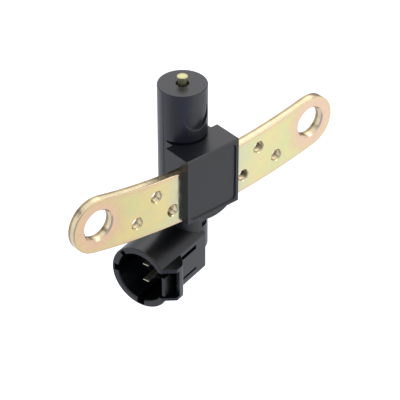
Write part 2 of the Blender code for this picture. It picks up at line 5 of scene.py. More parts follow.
import bmesh
import bpy
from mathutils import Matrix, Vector


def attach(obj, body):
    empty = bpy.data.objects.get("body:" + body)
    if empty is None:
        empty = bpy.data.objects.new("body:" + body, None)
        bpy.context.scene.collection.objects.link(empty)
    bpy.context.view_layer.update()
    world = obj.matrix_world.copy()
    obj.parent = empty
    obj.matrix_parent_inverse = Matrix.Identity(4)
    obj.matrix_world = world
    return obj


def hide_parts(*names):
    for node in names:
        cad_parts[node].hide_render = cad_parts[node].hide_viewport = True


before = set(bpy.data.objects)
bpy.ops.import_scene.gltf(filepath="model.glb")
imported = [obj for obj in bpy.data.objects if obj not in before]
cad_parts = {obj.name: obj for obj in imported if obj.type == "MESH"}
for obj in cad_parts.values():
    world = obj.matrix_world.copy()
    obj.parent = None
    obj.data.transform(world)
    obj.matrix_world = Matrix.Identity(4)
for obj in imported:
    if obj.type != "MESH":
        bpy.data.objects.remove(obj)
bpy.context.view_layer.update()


# Camera. A long lens looks down on the sensor from its front left, so the bracket runs away to
# the right and the socket points to the lower left.
CAMERA_AT = (-0.31447, -0.37912, 0.31016)
CAMERA_AIM = (0.00716, 0.0, -0.05111)
LENS_MM = 168.57
SENSOR_MM = 36.0

camera_data = bpy.data.cameras.new("camera")
camera_data.lens = LENS_MM
camera_data.sensor_width = SENSOR_MM
camera_data.clip_start = 0.01
camera_data.clip_end = 20.0
camera = bpy.data.objects.new("camera", camera_data)
camera.location = CAMERA_AT
camera.rotation_mode = "QUATERNION"
look = Vector(CAMERA_AIM) - Vector(CAMERA_AT)
camera.rotation_quaternion = look.to_track_quat("-Z", "Y")
bpy.context.scene.collection.objects.link(camera)
bpy.context.scene.camera = camera
bpy.context.scene.view_settings.view_transform = "Standard"


# White sheet and the room round it. The sheet is matt white card that ends in front of the
# sensor, and beyond its edge the room is dark, which the glossy moulding shows on its front.
SHEET_Z = -0.42
SHEET_FRONT = 0.24
SHEET_BACK = 3.0
SHEET_HALF_WIDTH = 2.5
LIGHTER_FROM_Y = -0.15
LIGHTER_FULL_Y = -0.5
GLOW_BEHIND = 0.13
GLOW_FRONT_EXTRA = 0.15
CAMERA_TURN = math.atan2(CAMERA_AT[1], CAMERA_AT[0])


def linear(hex_colour):
    """The linear colour of an sRGB hex value, with alpha 1."""
    parts = [int(hex_colour[i:i + 2], 16) / 255 for i in (0, 2, 4)]
    parts = [c / 12.92 if c <= 0.04045 else ((c + 0.055) / 1.055) ** 2.4 for c in parts]
    return (*parts, 1.0)


def add(tree, kind, values=(), links=(), **settings):
    """Adds a node, sets it, fills its sockets and links what feeds them."""
    made = tree.nodes.new(kind)
    for name, value in settings.items():
        setattr(made, name, value)
    for socket, value in dict(values).items():
        made.inputs[socket].default_value = value
    for socket, source in dict(links).items():
        tree.links.new(source, made.inputs[socket])
    return made


# Matt white card gives a clean white under the sensor. Its tone is painted a little lighter in
# front, and it glows more there for mirrored rays. This painted pool of light is what the upright
# faces of the moulding and the bracket mirror.
card = bpy.data.materials.new("matt_white_card")
card.use_nodes = True
tree = card.node_tree
tree.nodes.clear()
seen = add(tree, "ShaderNodeLightPath")
split = add(tree, "ShaderNodeSeparateXYZ", links={
    0: add(tree, "ShaderNodeNewGeometry").outputs["Position"]})
front = add(tree, "ShaderNodeMapRange", {"From Min": LIGHTER_FROM_Y,
                                                   "From Max": LIGHTER_FULL_Y},
            {"Value": split.outputs["Y"]}, interpolation_type="SMOOTHSTEP")
# Painted light: the card's colour turns lighter towards the front.
painted_front_light = add(tree, "ShaderNodeMix", links={"Factor": front.outputs[0]}, data_type="RGBA")
painted_front_light.inputs["A"].default_value = linear("e6e6ec")
painted_front_light.inputs["B"].default_value = linear("f0f0f0")
paper = add(tree, "ShaderNodeBsdfDiffuse", links={"Color": painted_front_light.outputs["Result"]})
lift = add(tree, "ShaderNodeMath", links={0: seen.outputs["Is Glossy Ray"],
                                          1: seen.outputs["Is Transmission Ray"]},
           operation="ADD", use_clamp=True)
# More glow towards the front, part of the same painted pool of light.
ahead = add(tree, "ShaderNodeMath", {1: GLOW_FRONT_EXTRA, 2: GLOW_BEHIND},
            {0: front.outputs[0]}, operation="MULTIPLY_ADD")
lift = add(tree, "ShaderNodeMath", links={0: lift.outputs[0], 1: ahead.outputs[0]},
           operation="MULTIPLY")
lift = add(tree, "ShaderNodeMath", {1: 0.5}, {0: seen.outputs["Is Camera Ray"],
                                              2: lift.outputs[0]}, operation="MULTIPLY_ADD")
glow = add(tree, "ShaderNodeEmission", links={"Strength": lift.outputs[0]})
both = add(tree, "ShaderNodeAddShader", links={0: paper.outputs[0], 1: glow.outputs[0]})
add(tree, "ShaderNodeOutputMaterial", links={"Surface": both.outputs[0]})

corners = []
for reach, side in ((SHEET_FRONT, -1), (SHEET_FRONT, 1), (-SHEET_BACK, 1), (-SHEET_BACK, -1)):
    across = side * SHEET_HALF_WIDTH
    corners.append((
        reach * math.cos(CAMERA_TURN) - across * math.sin(CAMERA_TURN),
        reach * math.sin(CAMERA_TURN) + across * math.cos(CAMERA_TURN),
        SHEET_Z,
    ))
sheet_mesh = bpy.data.meshes.new("white_sheet")
sheet_mesh.from_pydata(corners, [], [(0, 1, 2, 3)])
sheet_mesh.materials.append(card)
sheet = bpy.data.objects.new("white_sheet", sheet_mesh)
bpy.context.scene.collection.objects.link(sheet)

# The room is white, duller on the camera's side. Three darker places stand in it, each given in
# degrees by its turn, rise, core, rim and ceiling: a dark opening behind on the left, the far end
# of the room, and a dimmer part of the wall on the right. The camera sees plain white instead.
DARK_TURN = CAMERA_TURN - math.radians(12)
DARK_DROP = -0.08
DARK_PLACES = (
    (130.0, 36.0, 9.0, 13.0, 80.0, "4a463e"),
    (38.0, 0.0, 16.0, 34.0, 24.0, "5d554d"),
    (-18.0, 37.0, 8.0, 24.0, 89.0, "cdcfd6"),
)

world = bpy.data.worlds.new("studio")
bpy.context.scene.world = world
world.use_nodes = True
tree = world.node_tree
tree.nodes.clear()
seen = add(tree, "ShaderNodeLightPath")
where = add(tree, "ShaderNodeTexCoord")
towards = (math.cos(DARK_TURN), math.sin(DARK_TURN), DARK_DROP)
facing = add(tree, "ShaderNodeVectorMath", {1: towards}, {0: where.outputs["Generated"]},
             operation="DOT_PRODUCT")
shade = add(tree, "ShaderNodeMapRange", {"From Min": 0.4, "From Max": 0.82},
            {"Value": facing.outputs["Value"]}, interpolation_type="SMOOTHSTEP")
room = add(tree, "ShaderNodeMix", links={"Factor": shade.outputs[0]}, data_type="RGBA")
room.inputs["A"].default_value = linear("fafbff")
room.inputs["B"].default_value = linear("b8c2de")
colour = room.outputs["Result"]
height = add(tree, "ShaderNodeSeparateXYZ", links={0: where.outputs["Generated"]}).outputs["Z"]
for turn, rise, core, rim, ceiling, dark in DARK_PLACES:
    turn, rise = math.radians(turn), math.radians(rise)
    towards = (math.cos(rise) * math.cos(turn), math.cos(rise) * math.sin(turn), math.sin(rise))
    facing = add(tree, "ShaderNodeVectorMath", {1: towards}, {0: where.outputs["Generated"]},
                 operation="DOT_PRODUCT")
    inside = add(tree, "ShaderNodeMapRange", {"From Min": math.cos(math.radians(rim)),
                                              "From Max": math.cos(math.radians(core))},
                 {"Value": facing.outputs["Value"]}, interpolation_type="SMOOTHSTEP")
    under = add(tree, "ShaderNodeMapRange", {"From Min": math.sin(math.radians(ceiling)),
                                             "From Max": math.sin(math.radians(ceiling * 0.5))},
                {"Value": height}, interpolation_type="SMOOTHSTEP")
    both = add(tree, "ShaderNodeMath", links={0: inside.outputs[0], 1: under.outputs[0]},
               operation="MULTIPLY")
    shut = add(tree, "ShaderNodeMix", links={"Factor": both.outputs[0], "A": colour},
               data_type="RGBA")
    shut.inputs["B"].default_value = linear(dark)
    colour = shut.outputs["Result"]
glow = add(tree, "ShaderNodeBackground", {"Strength": 1.0}, {"Color": colour})
plain = add(tree, "ShaderNodeBackground", {"Color": (1.0, 1.0, 1.0, 1.0), "Strength": 1.0})
pick = add(tree, "ShaderNodeMixShader", links={0: seen.outputs["Is Camera Ray"],
                                               1: glow.outputs[0], 2: plain.outputs[0]})
add(tree, "ShaderNodeOutputWorld", links={"Surface": pick.outputs[0]})


# Lamps. One soft box stands high behind the sensor on the right, where the faces that look up
# mirror it, so that the tip's end and the box's top come out lighter than the sides. A smaller
# one to the front right shows as a light line along the edges that look up and forward.
LAMP_AIM = (0.0, 0.0, -0.03)
LAMP_COLOUR = "fffdfa"


def soft_box(name, place, size, power):
    """A round soft box turned to the sensor, with its size in metres and its power in watts."""
    lamp = bpy.data.lights.new(name, "AREA")
    lamp.shape = "DISK"
    lamp.size = size
    lamp.energy = power
    lamp.color = linear(LAMP_COLOUR)[:3]
    made = bpy.data.objects.new(name, lamp)
    made.location = place
    made.rotation_mode = "QUATERNION"
    made.rotation_quaternion = (Vector(LAMP_AIM) - Vector(place)).to_track_quat("-Z", "Y")
    bpy.context.scene.collection.objects.link(made)


soft_box("soft_box_behind", (0.52, 0.61, 0.58), 0.6, 0.55)
soft_box("soft_box_front", (0.52, -0.6, 0.55), 0.36, 0.5)


# Body moulding. One piece of black glass-filled polyester, injection moulded round the bracket
# and the coil: the round tip, the box, the stem and the plug's socket with its latch guard.
MM = 0.001
SEAM = 0.02
JOIN_STEP = 0.05
SMOOTH_ANGLE = math.radians(34)

PIN_RADIUS = 1.4
PIN_HOLE_RADIUS = 2.1
FACE_Z = -2.8
COLUMN_RADIUS = 8.0
BOX_TOP_Z = -20.4
BOX_BOTTOM_Z = -44.4
BOX_HALF_WIDTH = 10.6
BOX_FRONT_Y = -15.0
BOX_BACK_Y = -4.4
SOCKET_Z = -64.1
STEM_END_Z = -65.5
SOCKET_TURN = math.radians(195.0)
SOCKET_REACH = 24.4
SOCKET_RADIUS = 11.1
SOCKET_FLAT = 8.8
SOCKET_INNER = 8.75
SOCKET_INNER_FLAT = 7.75
SOCKET_FLOOR = 12.0

STRIP_FRONT_Y = -12.65
STRIP_BACK_Y = -9.65
STRIP_HALF_WIDTH = 9.5
STRIP_BEND_RADIUS = 200.0
STRIP_MIDDLE_Z = -35.0
EYE_X = 43.8


def solid(name, points, faces, turn=0.0, lift=0.0):
    """A closed mesh from points in millimetres, turned about Z and lifted, faces outwards."""
    mesh = bpy.data.meshes.new(name)
    c, s = math.cos(turn), math.sin(turn)
    placed = [((x * c - y * s) * MM, (x * s + y * c) * MM, (z + lift) * MM) for x, y, z in points]
    mesh.from_pydata(placed, [], faces)
    shape = bmesh.new()
    shape.from_mesh(mesh)
    bmesh.ops.recalc_face_normals(shape, faces=shape.faces)
    shape.to_mesh(mesh)
    shape.free()
    made = bpy.data.objects.new(name, mesh)
    bpy.context.scene.collection.objects.link(made)
    return made


def loft(name, rings, turn=0.0, lift=0.0):
    """A solid through rings of equal point counts, closed at both ends."""
    count = len(rings[0])
    points = [point for ring in rings for point in ring]
    faces = []
    for level in range(len(rings) - 1):
        low = level * count
        for i in range(count):
            j = (i + 1) % count
            faces.append((low + i, low + j, low + count + j, low + count + i))
    faces.append(tuple(range(count)))
    faces.append(tuple(range(len(points) - count, len(points))))
    return solid(name, points, faces, turn, lift)


def arc(centre, radius, start, end, steps):
    """Points on an arc from one angle to another in degrees, both ends included."""
    points = []
    for i in range(steps + 1):
        angle = math.radians(start + (end - start) * i / steps)
        points.append((centre[0] + radius * math.cos(angle), centre[1] + radius * math.sin(angle)))
    return points


def turned(name, profile, segments, turn=0.0, lift=0.0):
    """A solid turned about Z from (radius, height) pairs."""
    rings = []
    for radius, z in profile:
        rings.append([(x, y, z) for x, y in arc((0, 0), radius, 0, 360, segments)[:-1]])
    return loft(name, rings, turn, lift)


def block(name, low, high, turn=0.0, lift=0.0, roll=0.0):
    """A rectangular block between two corners, rolled about X before it is turned."""
    c, s = math.cos(roll), math.sin(roll)
    ring = ((low[1], low[2]), (high[1], low[2]), (high[1], high[2]), (low[1], high[2]))
    rings = [[(x, y * c - z * s, y * s + z * c) for y, z in ring] for x in (low[0], high[0])]
    return loft(name, rings, turn, lift)


def pushed(name, outline, start, end, turn=0.0, lift=0.0):
    """An (x, y) outline pushed up from one height to another."""
    return loft(name, [[(x, y, z) for x, y in outline] for z in (start, end)], turn, lift)


def rounded(made, width, segments=4, angle=40):
    """Rounds the sharp edges of a shape before it is joined or cut."""
    edge = made.modifiers.new("rounding", "BEVEL")
    edge.width = width * MM
    edge.segments = segments
    edge.limit_method = "ANGLE"
    edge.angle_limit = math.radians(angle)
    return made


def settle(body):
    """Turns a body's modifiers into its mesh."""
    bpy.context.view_layer.update()
    graph = bpy.context.evaluated_depsgraph_get()
    finished = bpy.data.meshes.new_from_object(body.evaluated_get(graph))
    body.modifiers.clear()
    body.data = finished


def carve(body, steps):
    """Joins and cuts a body with shapes in order, keeps the result and removes the shapes."""
    for operation, shape in steps:
        step = body.modifiers.new(shape.name, "BOOLEAN")
        step.operation = operation
        step.object = shape
        step.solver = "EXACT"
    settle(body)
    for shape in {shape for operation, shape in steps}:
        bpy.data.objects.remove(shape, do_unlink=True)
    body.data.shade_smooth()
    body.data.set_sharp_from_angle(angle=SMOOTH_ANGLE)
    even = body.modifiers.new("even_shading", "WEIGHTED_NORMAL")
    even.keep_sharp = True
    settle(body)
    return body


def strip_outline(half_width, steps=40):
    """The bracket's outline in X and Z: two long arcs about one centre and two round ends."""
    centre_z = STRIP_MIDDLE_Z + STRIP_BEND_RADIUS
    lean = math.degrees(math.asin(EYE_X / STRIP_BEND_RADIUS))
    end_z = centre_z - STRIP_BEND_RADIUS * math.cos(math.radians(lean))
    low = STRIP_BEND_RADIUS + half_width
    high = STRIP_BEND_RADIUS - half_width
    points = arc((0.0, centre_z), low, -90 - lean, -90 + lean, steps)
    points += arc((EYE_X, end_z), half_width, -90 + lean, 90 + lean, steps)[1:]
    points += arc((0.0, centre_z), high, -90 + lean, -90 - lean, steps)[1:]
    points += arc((-EYE_X, end_z), half_width, 90 - lean, 270 - lean, steps)[1:-1]
    return points


def flat_circle(radius, flat, steps=95):
    """A circle with a flat on its first side, as (side, up) points."""
    corner = math.degrees(math.acos(flat / radius))
    return arc((0.0, 0.0), radius, corner, 360 - corner, steps)


def socket_loft(name, rows):
    """A flat-sided round along the socket, from (distance, radius, flat) rows."""
    rings = [[(x, y, z) for y, z in flat_circle(r, flat)] for x, r, flat in rows]
    return loft(name, rings, SOCKET_TURN, SOCKET_Z)


def rounded_rows(radius, z, edge, steps=5):
    """(radius, height) pairs of an outside edge's rounding, up to the flat end at z."""
    pairs = []
    for i in range(steps + 1):
        angle = math.pi / 2 * i / steps
        pairs.append((radius - edge + edge * math.cos(angle), z - edge + edge * math.sin(angle)))
    return pairs


# The column's lower end is broken by two short slopes and its upper end is rounded.
column_profile = [(COLUMN_RADIUS - 1.2, STEM_END_Z), (COLUMN_RADIUS - 0.45, STEM_END_Z + 0.35)]
column_profile += [(COLUMN_RADIUS, STEM_END_Z + 1.3)]
column_profile += rounded_rows(COLUMN_RADIUS, FACE_Z, 0.3)
housing = turned("body_moulding", column_profile, 154)

# The box has a chamfer along its top front edge, and a waist where it meets the column.
WAIST = 7.96
BOX_CHAMFER = 0.4
box_rings = []
for y, z in ((BOX_FRONT_Y, BOX_BOTTOM_Z), (BOX_FRONT_Y, BOX_TOP_Z - BOX_CHAMFER),
             (BOX_FRONT_Y + BOX_CHAMFER, BOX_TOP_Z)):
    outline = [(WAIST, BOX_BACK_Y), (BOX_HALF_WIDTH, BOX_BACK_Y), (BOX_HALF_WIDTH, y)]
    outline += [(-BOX_HALF_WIDTH, y), (-BOX_HALF_WIDTH, BOX_BACK_Y), (-WAIST, BOX_BACK_Y)]
    outline += [(-WAIST, -0.4), (-7.0, 1.0), (7.0, 1.0), (WAIST, -0.4)]
    box_rings.append([(px, py, z) for px, py in outline])
box_shape = rounded(loft("box_shape", box_rings), 0.13, 3, 60)

parting = block("parting_line", (-COLUMN_RADIUS - 0.06, -0.09, STEM_END_Z + 1.6),
                (COLUMN_RADIUS + 0.06, 0.09, FACE_Z - 0.6))

LIP_HALF_WIDTH = 6.4
LIP_DROP = 1.8
lip_radius = (LIP_HALF_WIDTH ** 2 + LIP_DROP ** 2) / (2 * LIP_DROP)
lip_lean = math.degrees(math.asin(LIP_HALF_WIDTH / lip_radius))
lip_outline = arc((0.0, BOX_BOTTOM_Z - LIP_DROP + lip_radius), lip_radius,
                  -90 - lip_lean, -90 + lip_lean, 28)
lip_outline += [(LIP_HALF_WIDTH, BOX_BOTTOM_Z + 1.1), (-LIP_HALF_WIDTH, BOX_BOTTOM_Z + 1.1)]
lip_shape = loft("lip_shape", [[(x, y, z) for x, z in lip_outline]
                               for y in (BOX_FRONT_Y + JOIN_STEP, BOX_BACK_Y - JOIN_STEP)])
rounded(lip_shape, 0.4, 3)

barrel = socket_loft("barrel_shape", ((-0.3, SOCKET_RADIUS, SOCKET_FLAT),
                                      (SOCKET_REACH, SOCKET_RADIUS, SOCKET_FLAT)))
rounded(barrel, 0.42, 4, 30)

GUARD_HALF = 6.25
GUARD_RISE = 0.35
guard_plan = [
    (SOCKET_REACH - JOIN_STEP, SOCKET_FLAT - 0.35),
    (SOCKET_REACH - 3.2, 12.5),
    (SOCKET_REACH - 6.3, 12.5),
    (SOCKET_REACH - 7.65, 11.7),
    (SOCKET_REACH - 10.7, SOCKET_FLAT - 0.2),
    (SOCKET_REACH - 10.7, SOCKET_FLAT - 2.0),
    (SOCKET_REACH - JOIN_STEP, SOCKET_FLAT - 2.0),
]
guard = pushed("guard_shape", guard_plan, GUARD_RISE - GUARD_HALF, GUARD_RISE + GUARD_HALF,
               SOCKET_TURN, SOCKET_Z)
rounded(guard, 0.3, 4)

half = BOX_HALF_WIDTH - 1.2


def pocket_ring(y, grow, slope):
    """The pocket's round-cornered outline at a depth, with its lower side on a slope."""
    low = (-half - grow, BOX_BOTTOM_Z + 0.75 - grow + slope)
    high = (half + grow, BOX_TOP_Z - 1.3 + grow)
    radius = 1.7 + grow
    ring = []
    for x, z, start in ((high[0] - radius, low[1] + radius, -90),
                        (high[0] - radius, high[1] - radius, 0),
                        (low[0] + radius, high[1] - radius, 90),
                        (low[0] + radius, low[1] + radius, 180)):
        ring += [(px, y, pz) for px, pz in arc((x, z), radius, start, start + 90, 8)]
    return ring


pocket = loft("pocket_shape", [
    pocket_ring(BOX_FRONT_Y - 0.5, 0.55, -0.1), pocket_ring(BOX_FRONT_Y + 0.02, 0.06, 0.0),
    pocket_ring(BOX_FRONT_Y + 0.1, 0.0, 0.05), pocket_ring(BOX_FRONT_Y + 0.46, 0.0, 0.22),
    pocket_ring(BOX_FRONT_Y + 0.52, -0.06, 0.22),
])

RECESS_RADIUS = 4.7
RECESS_Z = BOX_TOP_Z + 9.0
RECESS_DEPTH = 0.95
RECESS_LEAST = 0.3
RECESS_EDGE = 0.3
RECESS_STEPS = 84


def recess_ring(radius, depth):
    """A ring of the recess, deepest at its lower right and running out towards its top."""
    ring = []
    for x, z in arc((0.0, RECESS_Z), radius, 0, 360, RECESS_STEPS)[:-1]:
        low = max(0.0, (0.5 * x + 0.87 * (RECESS_Z - z)) / RECESS_RADIUS)
        high = max(0.0, (0.5 * x + 0.87 * (z - RECESS_Z)) / RECESS_RADIUS)
        share = (RECESS_LEAST + (1 - RECESS_LEAST) * low ** 3) * (1 - 0.6 * high)
        share = min(1.0, share) if depth > 0 else 1.0
        ring.append((x, -math.sqrt((COLUMN_RADIUS - depth * share) ** 2 - x * x), z))
    return ring


mouth_ring = arc((0.0, RECESS_Z), RECESS_RADIUS + 0.75, 0, 360, RECESS_STEPS)[:-1]
recess_rings = [[(x, -9.6, z) for x, z in mouth_ring]]
recess_rings.append(recess_ring(RECESS_RADIUS + 0.7, -0.13))
for angle in (15, 35, 55, 75, 90):
    angle = math.radians(angle)
    recess_rings.append(recess_ring(RECESS_RADIUS + RECESS_EDGE * (1 - math.sin(angle)),
                                    RECESS_EDGE * (1 - math.cos(angle))))
recess_rings += [recess_ring(RECESS_RADIUS, RECESS_DEPTH - 0.15),
                 recess_ring(RECESS_RADIUS - 0.05, RECESS_DEPTH - 0.05)]
recess_rings += [recess_ring(RECESS_RADIUS * share, RECESS_DEPTH)
                 for share in (0.96, 0.8, 0.6, 0.4, 0.2, 0.06)]
recess = loft("recess_shape", recess_rings)


def foot_ring(rise, inner):
    """A part ring round the tip's foot, as wide as the body's front."""
    line = arc((0.0, 0.0), 8.9, 191, 349, 61) + arc((0.0, 0.0), inner, 349, 191, 61)
    return [(x, y, BOX_TOP_Z + rise) for x, y in line]


foot_gap = loft("foot_gap_shape", [
    foot_ring(-0.07, 7.4), foot_ring(0.12, 7.4), foot_ring(0.22, 7.55), foot_ring(0.33, 7.8),
    foot_ring(0.4, 8.15),
])

# The stem's front has a square window, left by the core that held the inserts in the mould.
window = block("window_shape", (1.3, -9.0, -54.9), (3.9, -6.57, -52.5))

strip_slot = loft("slot_shape", [[(x, y, z) for x, z in strip_outline(STRIP_HALF_WIDTH + SEAM)]
                                 for y in (STRIP_FRONT_Y - SEAM, STRIP_BACK_Y + SEAM)])

pin_hole = turned("pin_hole_shape", ((PIN_HOLE_RADIUS, -5.3), (PIN_HOLE_RADIUS, FACE_Z - 0.15),
                                     (PIN_HOLE_RADIUS + 0.5, FACE_Z + 0.4)), 61)
gate_mark = turned("gate_mark", ((0.55, STEM_END_Z - 0.16), (0.8, STEM_END_Z - 0.08),
                                 (1.05, STEM_END_Z + 0.3)), 37)
pin_mark_left, pin_mark_right = [
    loft(f"ejector_mark_{side}", [[(side * 3.9 + x, y, z) for x, y in
                                   arc((0.0, 0.0), 1.25, 0, 360, 41)[:-1]]
                                  for z in (STEM_END_Z - 0.6, STEM_END_Z + 0.1)])
    for side in (-1, 1)]
chamber = turned("chamber_shape", ((5.3, -26.7), (5.3, -4.3)), 47)
way = block("way_shape", (1.2, -1.8, 3.6), (4.4, 1.8, 38.0), SOCKET_TURN, SOCKET_Z)


def strip_way(name, strip_at, blade_z):
    """The channel of one terminal, from the coil chamber to the socket's floor."""
    outline = [(strip_at - 0.45, 37.9), (strip_at - 0.45, blade_z - 0.45),
               (SOCKET_FLOOR + 1.0, blade_z - 0.45), (SOCKET_FLOOR + 1.0, blade_z + 0.45),
               (strip_at + 0.45, blade_z + 0.45), (strip_at + 0.45, 37.9)]
    rings = [[(x, y, z) for x, z in outline] for y in (-1.2, 1.2)]
    return loft(name, rings, SOCKET_TURN, SOCKET_Z)


room_shape = socket_loft("room_shape", (
    (SOCKET_FLOOR, SOCKET_INNER - 0.04, SOCKET_INNER_FLAT - 0.04),
    (SOCKET_FLOOR + 0.04, SOCKET_INNER, SOCKET_INNER_FLAT),
    (SOCKET_REACH - 0.4, SOCKET_INNER, SOCKET_INNER_FLAT),
    (SOCKET_REACH - 0.33, SOCKET_INNER + 0.03, SOCKET_INNER_FLAT + 0.03),
    (SOCKET_REACH + 0.4, SOCKET_INNER + 0.74, SOCKET_INNER_FLAT + 0.74),
))
steps = [
    ("UNION", parting), ("UNION", box_shape), ("UNION", lip_shape), ("UNION", barrel),
    ("UNION", guard), ("UNION", gate_mark), ("DIFFERENCE", pin_mark_left),
    ("DIFFERENCE", pin_mark_right), ("DIFFERENCE", pocket), ("DIFFERENCE", recess),
    ("DIFFERENCE", foot_gap), ("DIFFERENCE", window), ("DIFFERENCE", strip_slot),
    ("DIFFERENCE", pin_hole), ("DIFFERENCE", chamber),
    ("DIFFERENCE", way), ("DIFFERENCE", strip_way("upper_way", 4.4, 3.2)),
    ("DIFFERENCE", strip_way("lower_way", 1.2, -3.2)), ("DIFFERENCE", room_shape),
]
# Three keyways let in one plug only, each given by its angle in degrees, width and depth.
KEYWAYS = ((132, 1.8, 1.75), (178, 2.5, 1.5), (-89, 2.7, 1.95))
for number, (angle, width, depth) in enumerate(KEYWAYS):
    groove = block(f"keyway_{number}", (SOCKET_FLOOR + 0.2, 7.3, -width / 2),
                   (SOCKET_REACH + 2.0, SOCKET_INNER + depth, width / 2), SOCKET_TURN, SOCKET_Z,
                   math.radians(angle))
    steps.append(("DIFFERENCE", groove))

# The latch tongue is a strip of the socket's flat side, freed by two slits and a relief inside.
TONGUE_ROOT = 5.3
TONGUE_HALF = 3.7
SLIT_TOP = 5.3
SLIT_BOTTOM = -4.6
relief = block("relief_shape", (TONGUE_ROOT + 0.3, 5.65, SLIT_BOTTOM - 0.15),
               (SOCKET_FLOOR + 1.0, 7.65, SLIT_TOP + 0.15), SOCKET_TURN, SOCKET_Z)
steps.append(("DIFFERENCE", relief))
for name, low, high in (("bottom", SLIT_BOTTOM, -TONGUE_HALF), ("top", TONGUE_HALF, SLIT_TOP)):
    slit = block(f"slit_{name}", (TONGUE_ROOT, 5.9, low), (16.4, 9.1, high),
                 SOCKET_TURN, SOCKET_Z)
    steps.append(("DIFFERENCE", slit))

GUARD_WALL = 1.2
mouth = SOCKET_REACH + 2.0
inside_plan = [
    (mouth, 7.25),
    (mouth, 13.5),
    (SOCKET_REACH - 4.5, 13.5),
    (SOCKET_REACH - 4.5, 12.5 - GUARD_WALL),
    (SOCKET_REACH - 6.3 + GUARD_WALL / 4, 12.5 - GUARD_WALL),
    (SOCKET_REACH - 7.65 + GUARD_WALL / 2, 11.7 - GUARD_WALL),
    (SOCKET_REACH - 10.5 + 1.4 * GUARD_WALL, SOCKET_FLAT),
    (SOCKET_REACH - 10.5 + 1.4 * GUARD_WALL, 7.25),
]
guard_inside = pushed("guard_inside", inside_plan, GUARD_RISE - GUARD_HALF + GUARD_WALL,
                      GUARD_RISE + GUARD_HALF - GUARD_WALL, SOCKET_TURN, SOCKET_Z)
steps.append(("DIFFERENCE", guard_inside))

tongue_end = SOCKET_REACH - 0.2
tongue_plan = [
    (TONGUE_ROOT - 0.5, SOCKET_INNER_FLAT + JOIN_STEP),
    (tongue_end - 7.5, SOCKET_INNER_FLAT + JOIN_STEP),
    (tongue_end - 6.1, SOCKET_INNER_FLAT + 0.8),
    (tongue_end, SOCKET_INNER_FLAT + 0.8),
    (tongue_end, SOCKET_FLAT + 0.8),
    (tongue_end - 6.9, SOCKET_FLAT + 0.8),
    (tongue_end - 8.5, SOCKET_FLAT - JOIN_STEP),
    (TONGUE_ROOT - 0.5, SOCKET_FLAT - JOIN_STEP),
]
tongue = pushed("tongue_shape", tongue_plan, -TONGUE_HALF + JOIN_STEP, TONGUE_HALF - JOIN_STEP,
                SOCKET_TURN, SOCKET_Z)
steps.append(("UNION", rounded(tongue, 0.2, 3, 60)))
carve(housing, steps)

# Black glass-filled polyester gives a satin black that is cloudy where the melt flowed, with
# blurred mirror images. The tip, off a less polished part of the mould, is a shade greyer. The
# mould's own grain of about 0.05 mm is too fine to show, so it is drawn at 0.35 mm.
MELT_CLOUD = 6.0
MOULD_GRAIN = 0.35
moulding = bpy.data.materials.new("black_glass_filled_polyester")
moulding.use_nodes = True
tree = moulding.node_tree
shader = tree.nodes["Principled BSDF"]
shader.inputs["Roughness"].default_value = 0.32
shader.inputs["IOR"].default_value = 1.58
place = add(tree, "ShaderNodeNewGeometry")
cloud = add(tree, "ShaderNodeTexNoise", {"Scale": 1 / (MELT_CLOUD * MM), "Detail": 3.0},
            {"Vector": place.outputs["Position"]})
shots = []
for low, high in (("040506", "090a0d"), ("181920", "1e1f27")):
    tint = add(tree, "ShaderNodeMix", links={"Factor": cloud.outputs["Fac"]}, data_type="RGBA")
    tint.inputs["A"].default_value = linear(low)
    tint.inputs["B"].default_value = linear(high)
    shots.append(tint.outputs["Result"])
split = add(tree, "ShaderNodeSeparateXYZ", links={0: place.outputs["Position"]})
cup = add(tree, "ShaderNodeMapRange", {"From Min": (BOX_TOP_Z - 0.1) * MM,
                                       "From Max": (BOX_TOP_Z + 0.1) * MM},
          {"Value": split.outputs["Z"]})
tint = add(tree, "ShaderNodeMix", links={"Factor": cup.outputs[0], "A": shots[0], "B": shots[1]},
           data_type="RGBA")
tree.links.new(tint.outputs["Result"], shader.inputs["Base Color"])
grain = add(tree, "ShaderNodeTexNoise", {"Scale": 1 / (MOULD_GRAIN * MM), "Detail": 2.0},
            {"Vector": place.outputs["Position"]})
bump = add(tree, "ShaderNodeBump", {"Strength": 0.12, "Distance": 0.05 * MM},
           {"Height": grain.outputs["Fac"]})
tree.links.new(bump.outputs[0], shader.inputs["Normal"])
housing.data.materials.clear()
housing.data.materials.append(moulding)
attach(housing, "root")
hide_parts("housing_body")


# Bracket. A 3 mm steel stamping with rolled front edges, zinc plated and yellow passivated, so
# its face runs from straw to pale green and to pink at the eyes and along the edges.
ROLL = 0.55
BURR = 0.2
EYE_RADIUS = 5.15
EYE_LEAD = 0.5
EYE_LIFT = 0.35
SMALL_HOLE_RADIUS = 1.97
SMALL_HOLE_LEAD = 0.3
SMALL_HOLES = ((21.15, 4.1), (14.7, -3.4), (28.95, -3.4))


def strip_row(y, half_width):
    """The bracket's outline at a depth."""
    return [(x, y, z) for x, z in strip_outline(half_width)]


rows = []
for i in range(6):
    angle = math.pi / 2 * i / 5
    rows.append(strip_row(STRIP_FRONT_Y + ROLL * (1 - math.sin(angle)),
                          STRIP_HALF_WIDTH - ROLL * (1 - math.cos(angle))))
rows.reverse()
rows.append(strip_row(STRIP_BACK_Y - BURR, STRIP_HALF_WIDTH))
rows.append(strip_row(STRIP_BACK_Y, STRIP_HALF_WIDTH - BURR))
bracket = loft("steel_bracket", rows)


def strip_height(x):
    """The height of the bracket's curved middle line."""
    return STRIP_MIDDLE_Z + STRIP_BEND_RADIUS - math.sqrt(STRIP_BEND_RADIUS ** 2 - x ** 2)


